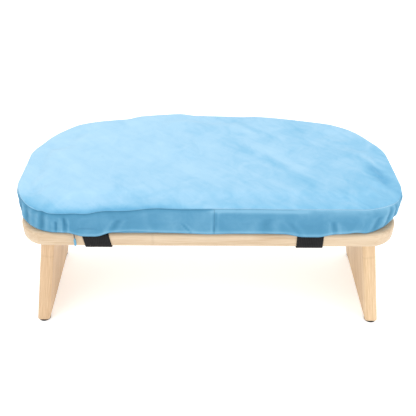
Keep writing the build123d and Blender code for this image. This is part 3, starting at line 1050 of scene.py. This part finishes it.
def make_strap(name, middle, side, lean, node):
    """Webbing as a thin sheet with rounded selvedges, leaning a little on its way down."""
    columns = middle + np.linspace(-STRAP_HALF_WIDTH, STRAP_HALF_WIDTH, STRAP_COLUMNS + 1)
    depths = edge_depths(side, columns)
    sections = front_sections(depths) if side == "front" else back_sections(depths)
    points = []
    for row in sections:
        height = row[0][1]
        slide = lean * (1 - min(max(height / BOARD_THICKNESS, 0), 1))
        points += [(x + slide, depth, up) for x, (depth, up) in zip(columns, row)]
    wide = len(columns)
    faces = [(r * wide + c, r * wide + c + 1, (r + 1) * wide + c + 1, (r + 1) * wide + c)
             for r in range(len(sections) - 1) for c in range(wide - 1)]
    strap = make_object(name, seat_to_world(np.array(points) * MM), faces)
    thick = strap.modifiers.new("thickness", "SOLIDIFY")
    thick.thickness = STRAP_THICKNESS * MM
    thick.offset = 0
    selvedge = strap.modifiers.new("selvedge", "BEVEL")
    selvedge.width = SELVEDGE_WIDTH * MM
    selvedge.segments = 2
    selvedge.limit_method = "ANGLE"
    put_on_bench(strap, WEBBING, node)


def patch_point(middle, height, column, row, face, rng):
    """A point of a patch's upper or lower face: the pile is rough inside a thin rim."""
    width = 2 * (STRAP_HALF_WIDTH - PATCH_MARGIN)
    x = middle - width / 2 + width * column / PATCH_COLUMNS
    y = PATCH_START + PATCH_LENGTH * row / PATCH_ROWS
    if row in (0, PATCH_ROWS) or column in (0, PATCH_COLUMNS):
        return x, y, height + face * 0.6 * PATCH_HALF_THICKNESS
    rough = rng.uniform(-PILE_ROUGHNESS, PILE_ROUGHNESS)
    return x, y, height + face * PATCH_HALF_THICKNESS + rough


def make_patch(name, middle, height, node):
    """A hook or loop patch: a thin closed pad with a ragged pile on both faces."""
    rng = random.Random(name)
    rows, columns = range(PATCH_ROWS + 1), range(PATCH_COLUMNS + 1)
    points = [patch_point(middle, height, c, r, face, rng)
              for face in (-1, 1) for r in rows for c in columns]
    wide = len(columns)
    sheet = wide * len(rows)
    faces = []
    for r in rows[:-1]:
        for c in columns[:-1]:
            a = r * wide + c
            low = (a, a + wide, a + wide + 1, a + 1)
            faces.append(low)
            faces.append(tuple(sheet + i for i in reversed(low)))
    rim = [(0, c) for c in columns[:-1]] + [(r, PATCH_COLUMNS) for r in rows[:-1]]
    rim += [(PATCH_ROWS, c) for c in columns[:0:-1]] + [(r, 0) for r in rows[:0:-1]]
    ids = [r * wide + c for r, c in rim]
    for a, b in zip(ids, ids[1:] + ids[:1]):
        faces.append((a, b, b + sheet, a + sheet))
    patch = make_object(name, seat_to_world(np.array(points) * MM), faces)
    fix_normals(patch)
    put_on_bench(patch, HOOK_LOOP, node)


def make_straps():
    """Both straps: a front and a back half each, joined by patches under the board."""
    for side, middle, lean in (("left", LEFT_STRAP_X, LEFT_LEAN), ("right", RIGHT_STRAP_X, RIGHT_LEAN)):
        make_strap(f"{side}_webbing_front", middle, "front", lean, f"{side}_strap_front")
        make_strap(f"{side}_webbing_back", middle, "back", 0.0, f"{side}_strap_back")
        make_patch(f"{side}_loop_pad", middle, LOOP_HEIGHT, f"{side}_strap_loop_patch")
        make_patch(f"{side}_hook_pad", middle, HOOK_HEIGHT, f"{side}_strap_hook_patch")


# ------------ the zip

ZIP_HALF_LENGTH = 166.0
# Depths of a tape's front face, its rear corners and the middle of its back
TAPE_FRONT, TAPE_REAR, TAPE_MIDDLE = 1.45, 1.75, 1.95
TAPE_WIDTH = 1.6
TAPE_STEPS = 84
TAPE_RIPPLE = 0.05
LOWER_TAPE, UPPER_TAPE = 21.25, 24.55
COIL_TURNS = 250
TURN_POINTS = 8
COIL_RADIUS = 0.62
WIRE_RADIUS = 0.22
WIRE_POINTS = 5


def make_zip_tape(name, low, node):
    """A woven tape with a slight ripple, thicker along its middle."""
    high = low + TAPE_WIDTH
    section = ((TAPE_FRONT, low), (TAPE_FRONT, high), (TAPE_REAR, high),
               (TAPE_MIDDLE, (low + high) / 2), (TAPE_REAR, low))
    points = []
    for i in range(TAPE_STEPS + 1):
        x = -ZIP_HALF_LENGTH + 2 * ZIP_HALF_LENGTH * i / TAPE_STEPS
        ripple = TAPE_RIPPLE * math.sin(i * 1.7)
        points += [(x, y + ripple, z) for y, z in section]
    faces = tube_faces(TAPE_STEPS + 1, len(section))
    tape = make_object(name, seat_to_world(np.array(points) * MM), faces, smooth=False)
    fix_normals(tape)
    put_on_bench(tape, ZIP_TAPE, node)


def make_zip_coil():
    """The closed nylon coil, wound in turns along the zip."""
    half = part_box("zip_coil")[1].x / MM - WIRE_RADIUS
    vertices = [v.co for v in frame["nodes"]["zip_coil"].data.vertices]
    _, middle_y, middle_z = world_to_seat(np.array(vertices, float)).mean(0) / MM
    count = COIL_TURNS * TURN_POINTS
    points = []
    for i in range(count + 1):
        angle = 2 * math.pi * i / TURN_POINTS
        x = -half + 2 * half * i / count
        for k in range(WIRE_POINTS):
            around = 2 * math.pi * k / WIRE_POINTS
            reach = COIL_RADIUS + WIRE_RADIUS * math.cos(around)
            points.append((x + WIRE_RADIUS * math.sin(around),
                           middle_y + reach * math.cos(angle), middle_z + reach * math.sin(angle)))
    faces = tube_faces(count + 1, WIRE_POINTS)
    coil = make_object("zip_coil_turns", seat_to_world(np.array(points) * MM), faces)
    fix_normals(coil)
    put_on_bench(coil, ZIP_NYLON, "zip_coil")


# ------------ stage and camera

CAMERA_PITCH = 35.0
CAMERA_DISTANCE = 0.587
CAMERA_HEIGHT = 0.603
CAMERA_LENS = 54.35
CAMERA_ROLL = 0.26
CAMERA_ASIDE = -0.006
CAMERA_SHIFT = 0.011
SENSOR = 36.0

# Soft square lights: name, place, aim, size and watts
LIGHTS = (
    ("key", (-0.9, -0.9, 1.6), (0, 0, 0.15), 1.4, 12),
    ("fill", (1.3, -0.95, 0.4), (0, 0, 0.12), 1.2, 7),
    ("top", (0.2, 0.5, 1.9), (0, 0, 0.15), 1.6, 10),
)
SURROUND_STRENGTH = 0.9
FLOOR_SIZE = 30
FLOOR_COLOR = (0.93, 0.93, 0.93, 1)
FLOOR_GLOW = 0.38


def make_camera():
    """Looks down at the bench from in front, a little above knee height."""
    data = bpy.data.cameras.new("camera")
    data.lens = CAMERA_LENS
    data.sensor_width = SENSOR
    data.shift_x = CAMERA_SHIFT
    camera = bpy.data.objects.new("camera", data)
    camera.location = (CAMERA_ASIDE, seat_origin.y - CAMERA_DISTANCE, CAMERA_HEIGHT)
    pitch = Matrix.Rotation(math.radians(90 - CAMERA_PITCH), 4, "X")
    roll = Matrix.Rotation(math.radians(CAMERA_ROLL), 4, "Z")
    camera.rotation_euler = (pitch @ roll).to_euler()
    bpy.context.scene.collection.objects.link(camera)
    bpy.context.scene.camera = camera


def make_area_light(name, location, target, size, power):
    """A soft square light aimed at a point."""
    data = bpy.data.lights.new(name, "AREA")
    data.size = size
    data.energy = power
    light = bpy.data.objects.new(name, data)
    light.location = location
    aim = Vector(target) - Vector(location)
    light.rotation_euler = aim.to_track_quat("-Z", "Y").to_euler()
    bpy.context.scene.collection.objects.link(light)


def make_floor():
    """A pale floor that glows a little, so that it stays as light as its surround."""
    bpy.ops.mesh.primitive_plane_add(size=FLOOR_SIZE)
    floor = bpy.context.object
    floor.name = "floor"
    material = bpy.data.materials.new("floor")
    material.use_nodes = True
    inputs = material.node_tree.nodes["Principled BSDF"].inputs
    inputs["Base Color"].default_value = FLOOR_COLOR
    inputs["Roughness"].default_value = 0.9
    inputs["Specular IOR Level"].default_value = 0.1
    inputs["Emission Color"].default_value = (1, 1, 1, 1)
    inputs["Emission Strength"].default_value = FLOOR_GLOW
    floor.data.materials.append(material)


def make_stage():
    """A pale floor, a white surround and three soft lights."""
    scene = bpy.context.scene
    scene.view_settings.view_transform = "Standard"
    world = bpy.data.worlds.new("studio")
    world.use_nodes = True
    surround = world.node_tree.nodes["Background"]
    surround.inputs["Color"].default_value = (1, 1, 1, 1)
    surround.inputs["Strength"].default_value = SURROUND_STRENGTH
    scene.world = world
    make_floor()
    for light in LIGHTS:
        make_area_light(*light)


# ------------ everything together

finish_cad_nodes()
cover = make_cushion()
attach(cover, "bench")
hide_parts("cover_top_panel", "cover_side_band", "cover_bottom_panel", "foam_core")
make_straps()
make_zip_tape("zip_tape_lower_weave", LOWER_TAPE, "zip_tape_lower")
make_zip_tape("zip_tape_upper_weave", UPPER_TAPE, "zip_tape_upper")
make_zip_coil()

make_camera()
make_stage()
